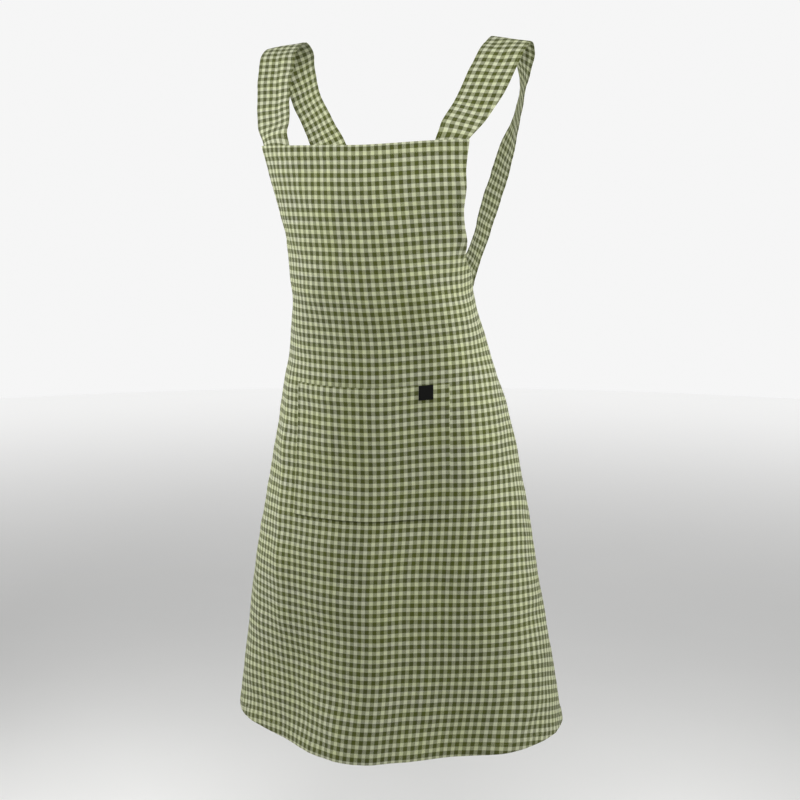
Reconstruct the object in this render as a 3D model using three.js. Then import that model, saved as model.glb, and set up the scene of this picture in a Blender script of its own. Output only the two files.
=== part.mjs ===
import * as THREE from 'three';

// Linen apron: a bib that runs into a flared skirt wrapping round to the back, two broad shoulder straps
// that cross on the back, one patch pocket and one plain sewn label.
// Lengths are millimetres. +Z is up, the front faces -Y and the wearer's left side is +X.
// The origin is the middle of the shoulder line on which the straps rest.

// Thickness of each cloth piece and the gap left between two layers
const BODY_WALL = 1.2;
const STRAP_WALL = 1.6;
const POCKET_WALL = 1.2;
const LABEL_WALL = 1.0;
const LAYER_GAP = 0.5;

// Roughness of the linen and of the label
const LINEN_ROUGHNESS = 0.9;
const LABEL_ROUGHNESS = 0.8;

// Main heights and sizes
const BIB_TOP = -147;
const ARMHOLE_FOOT = -330;
const BACK_CORNER = -485;
const HEM = -1005;
const STRAP_WIDTH = 60;
const POCKET = { left: -118, right: 118, top: -480, bottom: -671, bulge: 2.0 };
const LABEL = { left: 74, right: 95, top: -481, bottom: -502 };

// How finely each piece is divided
const BODY_COLUMNS = 54;
const BODY_ZONES = [
  { top: BIB_TOP, bottom: -265, rows: 7 },
  { top: -265, bottom: BACK_CORNER, rows: 15 },
  { top: BACK_CORNER, bottom: HEM, rows: 17 },
];
const STRAP_ROWS = 54;
const STRAP_COLUMNS = 4;
const POCKET_ROWS = 8;
const POCKET_COLUMNS = 14;
const RING_STEPS = 720;

// Horizontal sections of the worn form: half width, middle depth, depth to the front and to the back,
// squareness of the front half, and how far the centre front line is carried round to the wearer's left
const SECTIONS = [
  { height: BIB_TOP, half: 197, middle: -40, front: 120, back: 118, square: 2.10, shift: -5 },
  { height: -210, half: 164, middle: -48, front: 122, back: 112, square: 2.10, shift: 0 },
  { height: -275, half: 139, middle: -55, front: 116, back: 108, square: 2.10, shift: 5 },
  { height: -340, half: 130, middle: -57, front: 112, back: 114, square: 2.10, shift: 9 },
  { height: -420, half: 142, middle: -35, front: 121, back: 125, square: 2.05, shift: 12 },
  { height: -520, half: 169, middle: -14, front: 142, back: 133, square: 1.95, shift: 14 },
  { height: -640, half: 193, middle: 0, front: 156, back: 149, square: 2.15, shift: 15 },
  { height: -780, half: 219, middle: -1, front: 181, back: 175, square: 2.15, shift: 17 },
  { height: -900, half: 241, middle: 4, front: 209, back: 193, square: 2.10, shift: 20 },
  { height: HEM, half: 258, middle: 5, front: 250, back: 209, square: 1.90, shift: 24 },
];
const BACK_SQUARE = 2.25;

// Heights between which the free edges come to follow the centre front line
const EDGES_FOLLOW = [-250, -340];

// Cloth from the centre line to the free edge, measured along the section: bib side, armhole, back top edge
const REACHES = [
  { height: BIB_TOP, reach: 165 },
  { height: -200, reach: 159 },
  { height: -250, reach: 154 },
  { height: -285, reach: 161 },
  { height: -310, reach: 178 },
  { height: ARMHOLE_FOOT, reach: 208 },
  { height: -352, reach: 248 },
  { height: -390, reach: 306 },
  { height: -430, reach: 366 },
  { height: BACK_CORNER, reach: 450 },
];

// Half of the open slit down the centre back
const SLITS = [
  { height: BACK_CORNER, half: 14 },
  { height: HEM, half: 36 },
];

// Deep drape of the skirt: direction from the front towards the wearer's left in degrees, depth outward,
// spread in degrees, and the heights where it begins and where it is full
const DRAPES = [
  { angle: -32, depth: -44, spread: 34, begins: -680, full: HEM },
  { angle: 39, depth: -45, spread: 27, begins: -120, full: HEM },
  { angle: 128, depth: -22, spread: 20, begins: -600, full: HEM },
  { angle: -128, depth: -22, spread: 20, begins: -600, full: HEM },
];

// Soft folds lying along lines on the cloth: both ends as distance round from the centre front and height,
// depth outward and half breadth
const FOLDS = [
  { fromAcross: 50, fromHeight: -700, toAcross: 52, toHeight: -1010, depth: -5, breadth: 30 },
  { fromAcross: -150, fromHeight: -500, toAcross: -148, toHeight: -850, depth: 3, breadth: 22 },
  { fromAcross: 278, fromHeight: -890, toAcross: 214, toHeight: -1010, depth: 5, breadth: 26 },
  { fromAcross: 150, fromHeight: -520, toAcross: 150, toHeight: -640, depth: 3, breadth: 24 },
  { fromAcross: 170, fromHeight: -205, toAcross: 165, toHeight: -290, depth: 12, breadth: 24 },
];

// The cloth is drawn up on the wearer's left: how far, between which distances round from the centre front it
// rises and fades again, and between which heights it fades
const DRAWN_UP = { height: 7, rises: [0, 150], fades: [340, 230], heights: [-760, -560] };

// Middle line of the wearer's left strap from under the bib, over the shoulder, to the opposite back corner,
// with the direction in plan and the dip of the strap's outer edge in degrees
const STRAP_PATH = [
  { x: 132, y: -129, z: -172, heading: 33, dip: 0 },
  { x: 134, y: -128, z: -147, heading: 30, dip: 0 },
  { x: 151, y: -93, z: -98, heading: 19, dip: 4 },
  { x: 164, y: -57, z: -44, heading: 10, dip: 6 },
  { x: 172, y: -26, z: -11, heading: 2, dip: 8 },
  { x: 174, y: 0, z: 0, heading: -6, dip: 9 },
  { x: 175, y: 28, z: -12, heading: -28, dip: 10 },
  { x: 175, y: 50, z: -40, heading: -58, dip: 10 },
  { x: 170, y: 66, z: -76, heading: -68, dip: 9 },
  { x: 158, y: 80, z: -112, heading: -64, dip: 10 },
  { x: 138, y: 92, z: -162, heading: -52, dip: 13 },
  { x: 110, y: 98, z: -245, heading: -51, dip: 17 },
  { x: 84, y: 99, z: -322, heading: -54, dip: 24 },
  { x: 42, y: 99, z: -384, heading: -16, dip: 37 },
  { x: -14, y: 96, z: -441, heading: 0, dip: 42 },
  { x: -74, y: 104, z: -500, heading: 4, dip: 43 },
];

// Depth of the straps on the small of the back where they run side by side and cross
const SMALL_OF_BACK = [
  { height: -240, depth: 112 },
  { height: -340, depth: 103 },
  { height: -450, depth: 95 },
  { height: -520, depth: 98 },
];
const BACK_ROUNDING = 520;
const CROSSING_LIFT = 1.75;

// A strap lies in front of this depth up to its crest; heights between which it changes at the bib and on the
// back, lengths from its end where it goes under the body, and extra room for it there
const FRONT_RUN = -20;
const CARRY_HEIGHTS = [-90, BIB_TOP];
const TAPER_HEIGHTS = [-50, -150];
const UNDER_BIB_HEIGHTS = [-116, -142];
const RESTING_HEIGHTS = [-318, -374];
const CROSSING_HEIGHTS = [-330, -374];
const UNDER_BACK_LENGTHS = [74, 60];
const UNDER_BIB_ROOM = 1.12;
const UNDER_BACK_ROOM = 1.2;

// What differs between the straps at the bib: how far each starts to the wearer's left, and how far its outer
// edge draws in
const STRAPS = [
  { name: 'strap_left', side: 1, carry: 5, taper: 18, colour: 0x8b8f66 },
  { name: 'strap_right', side: -1, carry: 3, taper: 0, colour: 0x8b8f67 },
];

const clamp01 = (t) => Math.min(1, Math.max(0, t));

function smooth(from, to, at) {
  const t = clamp01((at - from) / (to - from));
  return t * t * (3 - 2 * t);
}

function mix(a, b, t) {
  return a + (b - a) * t;
}

// Smooth curve through one column of a table whose key column rises or falls steadily
function through(table, key, column, at) {
  const rows = table[0][key] < table[table.length - 1][key] ? table : [...table].reverse();
  const last = rows.length - 1;
  const place = Math.min(rows[last][key], Math.max(rows[0][key], at));
  let k = 0;
  while (k < last - 1 && place > rows[k + 1][key]) k += 1;
  const step = (i) => rows[i + 1][key] - rows[i][key];
  const rise = (i) => (rows[i + 1][column] - rows[i][column]) / step(i);
  const slope = (i) => {
    if (i === 0) return rise(0);
    if (i === last) return rise(last - 1);
    return (rise(i - 1) * step(i) + rise(i) * step(i - 1)) / (step(i) + step(i - 1));
  };
  const h = step(k);
  const t = (place - rows[k][key]) / h;
  const t2 = t * t;
  const t3 = t2 * t;
  return (2 * t3 - 3 * t2 + 1) * rows[k][column] + (t3 - 2 * t2 + t) * h * slope(k)
    + (3 * t2 - 2 * t3) * rows[k + 1][column] + (t3 - t2) * h * slope(k + 1);
}

const sectionAt = (column, z) => through(SECTIONS, 'height', column, z);

// One closed horizontal section with its drape, as points with their distance round from the middle front
const rings = new Map();
function ring(z) {
  if (rings.has(z)) return rings.get(z);
  const half = sectionAt('half', z);
  const middle = sectionAt('middle', z);
  const front = sectionAt('front', z);
  const back = sectionAt('back', z);
  const frontPower = 2 / sectionAt('square', z);
  const backPower = 2 / BACK_SQUARE;
  const points = [];
  let run = 0;
  for (let i = 0; i <= RING_STEPS; i += 1) {
    const turn = -Math.PI + (2 * Math.PI * i) / RING_STEPS;
    const s = Math.sin(turn);
    const c = Math.cos(turn);
    const power = c > 0 ? frontPower : backPower;
    let x = half * Math.sign(s) * Math.abs(s) ** power;
    let y = -(c > 0 ? front : back) * Math.sign(c) * Math.abs(c) ** power;
    const bearing = THREE.MathUtils.radToDeg(Math.atan2(x, -y));
    const radius = Math.hypot(x, y);
    let out = 0;
    for (const drape of DRAPES) {
      const off = (bearing - drape.angle) / drape.spread;
      out += drape.depth * smooth(drape.begins, drape.full, z) * Math.exp(-off * off);
    }
    x *= (radius + out) / radius;
    y *= (radius + out) / radius;
    if (i > 0) run += Math.hypot(x - points[i - 1].x, y + middle - points[i - 1].y);
    points.push({ x, y: y + middle, run, bearing: i === RING_STEPS ? 180 : bearing });
  }
  points[0].bearing = -180;
  const start = points[RING_STEPS / 2].run;
  for (const point of points) point.run -= start;
  const made = { points, middle, girth: points[RING_STEPS].run };
  rings.set(z, made);
  return made;
}

// Finds the stretch of a section that holds a value of one of its rising columns
function locate(points, column, value) {
  let low = 0;
  let high = points.length - 1;
  while (high - low > 1) {
    const half = (low + high) >> 1;
    if (points[half][column] <= value) low = half;
    else high = half;
  }
  const span = points[high][column] - points[low][column];
  return { low, high, t: span > 0 ? clamp01((value - points[low][column]) / span) : 0 };
}

// Depth of the soft folds at a place on the cloth
function foldDepth(across, z) {
  let depth = 0;
  for (const fold of FOLDS) {
    const du = fold.toAcross - fold.fromAcross;
    const dz = fold.toHeight - fold.fromHeight;
    const length = Math.hypot(du, dz);
    const along = ((across - fold.fromAcross) * du + (z - fold.fromHeight) * dz) / (length * length);
    const away = ((across - fold.fromAcross) * dz - (z - fold.fromHeight) * du) / length / fold.breadth;
    const ends = smooth(-0.25, 0.2, along) * (fold.toHeight < HEM ? 1 : smooth(1.25, 0.8, along));
    depth += fold.depth * ends * Math.exp(-away * away);
  }
  return depth;
}

// How far the cloth is drawn up at a place
function drawnUp(across, z) {
  const sideways = smooth(...DRAWN_UP.rises, across) * smooth(...DRAWN_UP.fades, across);
  return DRAWN_UP.height * sideways * smooth(...DRAWN_UP.heights, z);
}

// A place on the cloth: distance round from the centre front line, height, and distance out of the cloth
function clothPoint(across, z, out = 0) {
  const raised = z + drawnUp(across, z);
  const { points } = ring(raised);
  const { low, high, t } = locate(points, 'run', across + sectionAt('shift', raised));
  const a = points[low];
  const b = points[high];
  const length = Math.hypot(b.x - a.x, b.y - a.y);
  const lift = foldDepth(across, z) + out;
  const x = mix(a.x, b.x, t) + ((b.y - a.y) / length) * lift;
  const y = mix(a.y, b.y, t) - ((b.x - a.x) / length) * lift;
  return new THREE.Vector3(x, y, raised);
}

// Both free edges of the body at one height, as distances from the centre front line
function clothEdges(z) {
  const shift = sectionAt('shift', z);
  const carried = -shift * smooth(...EDGES_FOLLOW, z);
  const slit = through(SLITS, 'height', 'half', z);
  const limit = ring(z).girth - slit;
  const reach = z > BACK_CORNER ? Math.min(limit, through(REACHES, 'height', 'reach', z)) : limit;
  return { left: -reach + carried, right: reach + carried };
}

// Moves a point onto the inside of the body, at a given distance inside the middle of its cloth
function underBody(point, clearance) {
  const { points, middle } = ring(Math.min(point.z, BIB_TOP));
  const bearing = THREE.MathUtils.radToDeg(Math.atan2(point.x, -(point.y - middle)));
  const { low, high, t } = locate(points, 'bearing', bearing);
  const x = mix(points[low].x, points[high].x, t);
  const y = mix(points[low].y, points[high].y, t) - middle;
  const keep = 1 - clearance / Math.hypot(x, y);
  return new THREE.Vector3(x * keep, y * keep + middle, point.z);
}

// Closed sheet of even thickness round a grid of middle points, rows first; the outer side follows the cross
// product of the direction along a row and the direction from row to row
function sheet(grid, wall) {
  const rows = grid.length;
  const columns = grid[0].length;
  const at = (i, j) => grid[Math.min(rows - 1, Math.max(0, i))][Math.min(columns - 1, Math.max(0, j))];
  const positions = [];
  for (const side of [1, -1]) {
    for (let i = 0; i < rows; i += 1) {
      for (let j = 0; j < columns; j += 1) {
        const along = at(i, j + 1).clone().sub(at(i, j - 1));
        const down = at(i + 1, j).clone().sub(at(i - 1, j));
        const normal = along.cross(down).normalize();
        positions.push(...at(i, j).clone().addScaledVector(normal, (side * wall) / 2).toArray());
      }
    }
  }
  const outer = (i, j) => i * columns + j;
  const inner = (i, j) => rows * columns + i * columns + j;
  const index = [];
  const quad = (a, b, c, d) => index.push(a, b, c, a, c, d);
  for (let i = 0; i + 1 < rows; i += 1) {
    for (let j = 0; j + 1 < columns; j += 1) {
      quad(outer(i, j), outer(i, j + 1), outer(i + 1, j + 1), outer(i + 1, j));
      quad(inner(i, j), inner(i + 1, j), inner(i + 1, j + 1), inner(i, j + 1));
    }
  }
  for (let j = 0; j + 1 < columns; j += 1) {
    quad(outer(0, j), inner(0, j), inner(0, j + 1), outer(0, j + 1));
    quad(outer(rows - 1, j), outer(rows - 1, j + 1), inner(rows - 1, j + 1), inner(rows - 1, j));
  }
  for (let i = 0; i + 1 < rows; i += 1) {
    quad(outer(i, 0), outer(i + 1, 0), inner(i + 1, 0), inner(i, 0));
    quad(outer(i, columns - 1), inner(i, columns - 1), inner(i + 1, columns - 1), outer(i + 1, columns - 1));
  }
  const geometry = new THREE.BufferGeometry();
  geometry.setAttribute('position', new THREE.Float32BufferAttribute(positions, 3));
  geometry.setIndex(index);
  geometry.computeVertexNormals();
  return geometry;
}

// Body: rows from the bib's top edge to the hem, columns from one free edge to the other
function bodyGrid() {
  const heights = [];
  for (const zone of BODY_ZONES) {
    for (let i = 0; i < zone.rows; i += 1) heights.push(mix(zone.top, zone.bottom, i / zone.rows));
  }
  heights.push(HEM);
  return heights.map((z) => {
    const edges = clothEdges(z);
    const points = [];
    for (let j = 0; j <= BODY_COLUMNS; j += 1) {
      points.push(clothPoint(mix(edges.left, edges.right, j / BODY_COLUMNS), z));
    }
    return points;
  });
}

// Strap: a ribbon along its path, laid under the bib at one end and the opposite back corner at the other
function strapGrid({ side, carry, taper }) {
  const path = [];
  let run = 0;
  STRAP_PATH.forEach((row, i) => {
    const before = STRAP_PATH[Math.max(0, i - 1)];
    run += Math.hypot(row.x - before.x, row.y - before.y, row.z - before.z);
    path.push({ ...row, run });
  });
  const centre = (at) => new THREE.Vector3(
    through(path, 'run', 'x', at), through(path, 'run', 'y', at), through(path, 'run', 'z', at));
  const clearance = BODY_WALL / 2 + LAYER_GAP + STRAP_WALL / 2;
  const grid = [];
  for (let i = 0; i <= STRAP_ROWS; i += 1) {
    const at = (run * i) / STRAP_ROWS;
    const middle = centre(at);
    const along = centre(Math.min(run, at + 2)).sub(centre(Math.max(0, at - 2))).normalize();
    const heading = THREE.MathUtils.degToRad(through(path, 'run', 'heading', at));
    const dip = THREE.MathUtils.degToRad(through(path, 'run', 'dip', at));
    const out = new THREE.Vector3(
      Math.cos(heading) * Math.cos(dip), Math.sin(heading) * Math.cos(dip), -Math.sin(dip));
    out.addScaledVector(along, -out.dot(along)).normalize();
    const inFront = middle.y < FRONT_RUN;
    const innerEdge = -STRAP_WIDTH / 2;
    const outerEdge = STRAP_WIDTH / 2 - (inFront ? taper * smooth(...TAPER_HEIGHTS, middle.z) : 0);
    const points = [];
    for (let j = 0; j <= STRAP_COLUMNS; j += 1) {
      const point = middle.clone().addScaledVector(out, mix(innerEdge, outerEdge, j / STRAP_COLUMNS));
      point.x *= side;
      if (inFront) {
        point.x += carry * smooth(...CARRY_HEIGHTS, point.z);
        const tucked = underBody(point, clearance * UNDER_BIB_ROOM);
        point.lerp(tucked, smooth(...UNDER_BIB_HEIGHTS, point.z));
      } else {
        const rounded = (point.x * point.x) / BACK_ROUNDING;
        const resting = through(SMALL_OF_BACK, 'height', 'depth', point.z) - rounded;
        point.y = mix(point.y, resting, smooth(...RESTING_HEIGHTS, point.z));
        point.y += side * CROSSING_LIFT * smooth(...CROSSING_HEIGHTS, point.z);
        const tucked = underBody(point, clearance * UNDER_BACK_ROOM);
        point.lerp(tucked, smooth(...UNDER_BACK_LENGTHS, run - at));
      }
      points.push(point);
    }
    if (side < 0) points.reverse();
    grid.push(points);
  }
  return grid;
}

// Pocket: a patch on the front of the skirt, a little full between its stitched edges from a share of its
// height upward
const POCKET_FULL_FROM = 0.7;
function pocketOut(across, z) {
  const s = (across - POCKET.left) / (POCKET.right - POCKET.left);
  const t = (z - POCKET.bottom) / (POCKET.top - POCKET.bottom);
  const full = Math.sin(Math.PI * clamp01(s)) ** 2 * smooth(0, POCKET_FULL_FROM, t);
  return BODY_WALL / 2 + LAYER_GAP + POCKET_WALL / 2 + POCKET.bulge * full;
}

function pocketGrid() {
  const grid = [];
  for (let i = 0; i <= POCKET_ROWS; i += 1) {
    const z = mix(POCKET.top, POCKET.bottom, i / POCKET_ROWS);
    const points = [];
    for (let j = 0; j <= POCKET_COLUMNS; j += 1) {
      const across = mix(POCKET.left, POCKET.right, j / POCKET_COLUMNS);
      points.push(clothPoint(across, z, pocketOut(across, z)));
    }
    grid.push(points);
  }
  return grid;
}

// Label: a small square patch lying on the pocket below its top edge
function labelGrid() {
  const grid = [];
  const above = POCKET_WALL / 2 + LAYER_GAP + LABEL_WALL / 2;
  for (let i = 0; i <= 2; i += 1) {
    const z = mix(LABEL.top, LABEL.bottom, i / 2);
    const points = [];
    for (let j = 0; j <= 2; j += 1) {
      const across = mix(LABEL.left, LABEL.right, j / 2);
      points.push(clothPoint(across, z, pocketOut(across, z) + above));
    }
    grid.push(points);
  }
  return grid;
}

function piece(name, geometry, colour, roughness) {
  const material = new THREE.MeshStandardMaterial({ color: colour, roughness, metalness: 0 });
  material.name = `${name}_cloth`;
  const mesh = new THREE.Mesh(geometry, material);
  mesh.name = name;
  return mesh;
}

const group = new THREE.Group();
group.name = 'linen_apron';
group.add(piece('body', sheet(bodyGrid(), BODY_WALL), 0x868a63, LINEN_ROUGHNESS));
for (const strap of STRAPS) {
  group.add(piece(strap.name, sheet(strapGrid(strap), STRAP_WALL), strap.colour, LINEN_ROUGHNESS));
}
group.add(piece('pocket', sheet(pocketGrid(), POCKET_WALL), 0x82865f, LINEN_ROUGHNESS));
group.add(piece('label', sheet(labelGrid(), LABEL_WALL), 0x1c1c1b, LABEL_ROUGHNESS));

export default group;
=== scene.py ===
"""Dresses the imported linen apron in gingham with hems, creases and stitches, then sets floor, light and view.

Cloth is worked out in millimetres, with the same tables as the part's own source, and becomes metres when a
mesh is made. A place on the cloth is given by its distance round from the centre front line, called across,
and by its height.
"""
import math
from collections import namedtuple

import bpy
import numpy as np
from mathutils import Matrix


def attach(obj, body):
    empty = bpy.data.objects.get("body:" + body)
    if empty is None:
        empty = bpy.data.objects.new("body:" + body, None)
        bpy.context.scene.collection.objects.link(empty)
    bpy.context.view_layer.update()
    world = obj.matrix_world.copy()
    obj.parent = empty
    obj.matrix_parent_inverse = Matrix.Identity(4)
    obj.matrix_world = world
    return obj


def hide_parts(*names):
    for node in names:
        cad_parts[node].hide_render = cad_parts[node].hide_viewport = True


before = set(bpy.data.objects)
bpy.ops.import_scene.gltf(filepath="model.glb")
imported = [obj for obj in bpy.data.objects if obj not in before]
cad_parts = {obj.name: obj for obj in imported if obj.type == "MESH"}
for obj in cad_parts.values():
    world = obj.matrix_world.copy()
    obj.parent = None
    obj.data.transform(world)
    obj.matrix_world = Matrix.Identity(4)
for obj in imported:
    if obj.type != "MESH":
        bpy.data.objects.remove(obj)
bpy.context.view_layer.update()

METRES = 0.001

# Main heights and sizes
BIB_TOP = -147
BACK_CORNER = -485
HEM = -1005
STRAP_WIDTH = 60
POCKET_LEFT = -118
POCKET_RIGHT = 118
POCKET_TOP = -480
POCKET_BOTTOM = -671
POCKET_BULGE = 2.0
POCKET_GAPE = 1.6
POCKET_TACK = 11
LABEL_LEFT = 74
LABEL_RIGHT = 95
LABEL_TOP = -481
LABEL_BOTTOM = -502

# Shares of the pocket's height where it reaches its full bulge and where its mouth begins to gape
POCKET_FULL_FROM = 0.7
POCKET_GAPES_FROM = 0.75

# How far the label swells, and how far in from its edge
LABEL_SWELL = 0.25
LABEL_SWELL_IN = 8

# Distances between the middles of two layers of cloth, as in the solids
POCKET_STANDS = 1.7
LABEL_STANDS = 1.6
STRAP_LIES_UNDER = 1.9

# Cloth thickness, turned hems and their stitch lines
CLOTH = 0.9
STRAP_CLOTH = 1.2
LABEL_CLOTH = 0.8
HEM_FOLD = 0.7
BOTTOM_HEM = 15
BIB_HEM = 17
SIDE_HEM = 9
POCKET_HEM = 22
POCKET_SEAM = 4
POCKET_TURN = 9
STRAP_SEAM = 5
LABEL_SEAM = 2
STITCH_INSET = 1.8
STITCH_PITCH = 3.1
STITCH_LENGTH = 2.3
THREAD_RADIUS = 0.2

# A hem's extra thickness runs out between these distances from its line. These shares of it show on the face
HEM_RUNS_OUT = (0.9, -0.5)
BODY_HEM_OUTWARD = 0.2
POCKET_HEM_OUTWARD = 0.3

# A free edge is rounded off over this distance, down to a least share of the thickness
EDGE_ROUNDING = 1.2
EDGE_LEAST = 0.3

# A stitch line draws the cloth in: depth, breadth, and how much of the depth other faces and pieces take
GROOVE_DEPTH = 0.12
GROOVE_BREADTH = 1.1
GROOVE_INSIDE = 0.4
GROOVE_STRAP = 0.6
GROOVE_LABEL = 0.5

# Small waves along a stitched edge: height, length, drift of the phase and its length, and reach inward
PUCKER_HEIGHT = 0.16
PUCKER_LENGTH = 12.5
PUCKER_DRIFT = 1.7
PUCKER_DRIFT_LENGTH = 71
PUCKER_REACH = 9

# One stitch from end to end: share of its length, height out of the cloth and radius
Bead = namedtuple("Bead", "share lift radius")
BEADS = [
    Bead(0, -0.16, 0),
    Bead(0.22, 0.06, THREAD_RADIUS),
    Bead(0.78, 0.06, THREAD_RADIUS),
    Bead(1, -0.16, 0),
]
BEAD_SIDES = 6
BEAD_LOOKS_AHEAD = 0.5

# Yarn-dyed check: repeat across and down the cloth
COLUMN_REPEAT = 10.9
ROW_REPEAT = 11.9
THREAD_PITCH = 0.62

# Distances from the centre front between which rows turn square to the columns, and columns grow wider
ROWS_TURN = (90, 300)
COLUMNS_WIDEN = (130, 230)
SIDE_WIDENING = 0.15

# Distances between which the rows' lean comes to be evened out, and over what length down the cloth
ROWS_EVEN_OUT = (220, 400)
EVENING_LENGTH = 180

# Woven rows are followed this far round each way, in this many places, and a lean below the least is left out
ROWS_REACH = 800
ROWS_PLACES = 201
LEAN_LEAST = 0.001

# How far the pocket's rows stand below the body's at its top edge
POCKET_ROW_SHIFT = 4

# Below 1 the dyed yarn shows more than the undyed one where both cross
DYED_YARN_SHOWS = 0.7

# Dyed yarn and undyed yarn, each in two shades
DARK = (0.055, 0.062, 0.018, 1)
GREEN = (0.068, 0.079, 0.014, 1)
PALE = (0.47, 0.485, 0.36, 1)
WARM = (0.47, 0.50, 0.285, 1)

# Uneven yarns: scale of slubs and of shades across and along a yarn, what a slub changes, and uneven borders
SLUB_GRAIN = (0.9, 0.022)
SHADE_GRAIN = (0.11, 0.004)
SLUB_STRENGTH = 0.32
STRIPE_BORDER = (0.24, 0.29)
BORDER_WOBBLE = 0.07

# How far the share of the face that one yarn covers changes where it goes over and under
YARN_COVER = 0.25

Section = namedtuple("Section", "height half middle front back square shift")
SECTIONS = [
    Section(BIB_TOP, 197, -40, 120, 118, 2.10, -5),
    Section(-210, 164, -48, 122, 112, 2.10, 0),
    Section(-275, 139, -55, 116, 108, 2.10, 5),
    Section(-340, 130, -57, 112, 114, 2.10, 9),
    Section(-420, 142, -35, 121, 125, 2.05, 12),
    Section(-520, 169, -14, 142, 133, 1.95, 14),
    Section(-640, 193, 0, 156, 149, 2.15, 15),
    Section(-780, 219, -1, 181, 175, 2.15, 17),
    Section(-900, 241, 4, 209, 193, 2.10, 20),
    Section(HEM, 258, 5, 250, 209, 1.90, 24),
]
BACK_SQUARE = 2.25

# Cloth from the centre line to the free edge: bib side, armhole, back top edge
Reach = namedtuple("Reach", "height reach")
REACHES = [
    Reach(BIB_TOP, 165),
    Reach(-200, 159),
    Reach(-250, 154),
    Reach(-285, 161),
    Reach(-310, 178),
    Reach(-330, 208),
    Reach(-352, 248),
    Reach(-390, 306),
    Reach(-430, 366),
    Reach(BACK_CORNER, 450),
]

# Heights between which the free edges, going up, come to follow the centre front line
EDGES_FOLLOW = (-340, -250)

# Half of the open slit down the centre back
Slit = namedtuple("Slit", "height half")
SLITS = [Slit(BACK_CORNER, 14), Slit(HEM, 36)]

# Deep drape of the skirt, by direction from the front in degrees
Drape = namedtuple("Drape", "angle depth spread begins full")
DRAPES = [
    Drape(-32, -44, 34, -680, HEM),
    Drape(39, -45, 27, -120, HEM),
    Drape(128, -22, 20, -600, HEM),
    Drape(-128, -22, 20, -600, HEM),
]

# Soft folds and sharper creases along lines on the cloth
Fold = namedtuple("Fold", "from_across from_height to_across to_height depth breadth")
FOLDS = [
    Fold(50, -700, 52, -1010, -5, 30),
    Fold(-150, -500, -148, -850, 3, 22),
    Fold(278, -890, 214, -1010, 5, 26),
    Fold(150, -520, 150, -640, 3, 24),
    Fold(170, -205, 165, -290, 12, 24),
]
CREASES = [
    Fold(-153, -490, -146, -850, 1.6, 9),
    Fold(145, -527, 145, -637, 1.4, 8),
    Fold(-66, -500, -60, -650, 0.8, 9),
    Fold(281, -897, 248, -936, -1.0, 6),
    Fold(248, -936, 224, -992, -1.0, 6),
    Fold(-53, -241, 56, -207, 1.0, 9),
    Fold(-36, -312, 54, -267, 1.0, 9),
    Fold(119, -185, 124, -275, 1.2, 8),
]

# A lower power gives a sharper fold. Folds set in and run out at these shares of their length
FOLD_POWER = 2
CREASE_POWER = 1.3
FOLD_SETS_IN = (-0.25, 0.2)
FOLD_RUNS_OUT = (1.25, 0.8)

# The shortest crumple as a share of the longest
CRUMPLE_SHORTEST = 0.22

# The cloth is drawn up on the wearer's left: how far, where across it rises and fades, and at which heights
DRAWN_UP = 7
DRAWN_RISES = (0, 150)
DRAWN_FADES = (340, 230)
DRAWN_HEIGHTS = (-760, -560)

# Middle line of the wearer's left strap, with the heading and dip of its outer edge in degrees
StrapPoint = namedtuple("StrapPoint", "x y z heading dip")
STRAP_PATH = [
    StrapPoint(132, -129, -172, 33, 0),
    StrapPoint(134, -128, -147, 30, 0),
    StrapPoint(151, -93, -98, 19, 4),
    StrapPoint(164, -57, -44, 10, 6),
    StrapPoint(172, -26, -11, 2, 8),
    StrapPoint(174, 0, 0, -6, 9),
    StrapPoint(175, 28, -12, -28, 10),
    StrapPoint(175, 50, -40, -58, 10),
    StrapPoint(170, 66, -76, -68, 9),
    StrapPoint(158, 80, -112, -64, 10),
    StrapPoint(138, 92, -162, -52, 13),
    StrapPoint(110, 98, -245, -51, 17),
    StrapPoint(84, 99, -322, -54, 24),
    StrapPoint(42, 99, -384, -16, 37),
    StrapPoint(-14, 96, -441, 0, 42),
    StrapPoint(-74, 104, -500, 4, 43),
]

# Depth of the straps on the small of the back
Depth = namedtuple("Depth", "height depth")
SMALL_OF_BACK = [Depth(-240, 112), Depth(-340, 103), Depth(-450, 95), Depth(-520, 98)]
BACK_ROUNDING = 520
CROSSING_LIFT = 1.75

# A strap lies in front of this depth up to its crest; heights between which it changes at the bib and on the
# back, lengths from its end where it goes under the body, and extra room for it there
FRONT_RUN = -20
CARRY_HEIGHTS = (-90, BIB_TOP)
TAPER_HEIGHTS = (-50, -150)
UNDER_BIB_HEIGHTS = (-116, -142)
RESTING_HEIGHTS = (-318, -374)
CROSSING_HEIGHTS = (-330, -374)
UNDER_BACK_LENGTHS = (74, 60)
UNDER_BIB_ROOM = 1.12
UNDER_BACK_ROOM = 1.2

# Lengths from the front end and from the back end over which a strap comes to hang free
HANGS_FROM_FRONT = (45, 90)
HANGS_FROM_BACK = (45, 110)

# What differs between the straps: side, sideways carry at the bib, how far the outer edge draws in there, and
# creases given by distance from the strap's middle and by length from its front end
Strap = namedtuple("Strap", "name side carry taper creases")
STRAPS = [
    Strap("left", 1, 5, 18, [Fold(6, 95, 2, 170, -1.0, 4)]),
    Strap("right", -1, 3, 0, [Fold(-9, 60, 2, 190, -1.8, 4)]),
]

# Rows of the straps are skewed towards the front end, fading between these lengths from it
STRAP_SKEW = 0.3
SKEW_FADES = (290, 190)

# Studio floor: radius in metres, sides, shades, where its glow begins, glow at the rim and its share in front
FLOOR_RADIUS = 6
FLOOR_SIDES = 96
FLOOR_SHADES = ((0.86, 0.86, 0.85, 1), (0.89, 0.89, 0.88, 1))
GLOW_FROM = 0.8
FLOOR_GLOW = 0.55
FLOOR_FRONT = 0.38

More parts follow.
